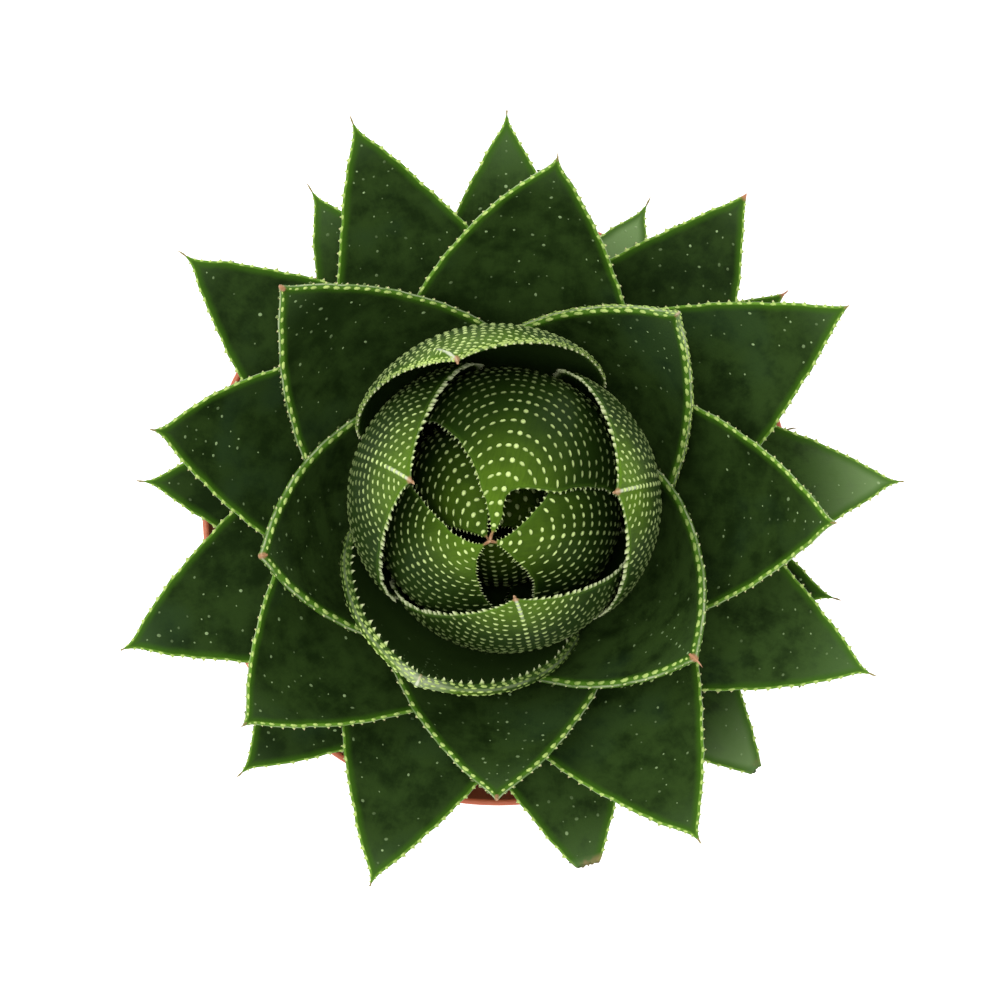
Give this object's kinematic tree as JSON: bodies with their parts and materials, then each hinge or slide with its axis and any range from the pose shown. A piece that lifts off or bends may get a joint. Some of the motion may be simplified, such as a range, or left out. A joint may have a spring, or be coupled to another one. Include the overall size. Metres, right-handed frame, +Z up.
{
  "type": "potted aloe",
  "caption": "Dense aloe rosette of toothed, white-dotted leaves round a closed ball-shaped bud, on a short stem in soil in a round terracotta-coloured plastic pot.",
  "frame": {"origin": "centre of the pot's underside, on the surface that it stands on", "axes": "+Z up; +X and +Y as the right-hand side and the top of the picture, which looks straight down"},
  "size_m": [0.1489, 0.1469, 0.1968],
  "materials": {
    "pot": "satin terracotta-coloured plastic",
    "soil": "rough dark potting soil",
    "stem": "pale green, matte",
    "young_leaf": "mid green, satin, with rows of pale dots",
    "old_leaf": "very dark green, satin, with pale teeth and margins"
  },
  "bodies": {
    "root": {"pot": "pot", "soil": "soil", "stem": "stem", "leaf_01": "young_leaf", "leaf_02": "young_leaf", "leaf_03": "young_leaf", "leaf_04": "young_leaf", "leaf_05": "young_leaf", "leaf_06": "young_leaf", "leaf_07": "young_leaf", "leaf_08": "young_leaf", "leaf_09": "young_leaf", "leaf_10": "young_leaf", "leaf_11": "young_leaf", "leaf_12": "young_leaf", "leaf_13": "young_leaf", "leaf_14": "young_leaf", "leaf_15": "young_leaf", "leaf_16": "young_leaf", "leaf_17": "old_leaf", "leaf_18": "old_leaf", "leaf_19": "old_leaf", "leaf_20": "old_leaf", "leaf_21": "old_leaf", "leaf_22": "old_leaf", "leaf_23": "old_leaf", "leaf_24": "old_leaf", "leaf_25": "old_leaf", "leaf_26": "old_leaf", "leaf_27": "old_leaf", "leaf_28": "old_leaf", "leaf_29": "old_leaf", "leaf_30": "old_leaf", "leaf_31": "old_leaf", "leaf_32": "old_leaf", "leaf_33": "old_leaf", "leaf_34": "old_leaf", "leaf_35": "old_leaf", "leaf_36": "old_leaf", "leaf_37": "old_leaf", "leaf_38": "old_leaf", "leaf_39": "old_leaf", "leaf_40": "old_leaf", "leaf_41": "old_leaf", "leaf_42": "old_leaf", "leaf_43": "old_leaf", "leaf_44": "old_leaf"}
  },
  "joints": []
}
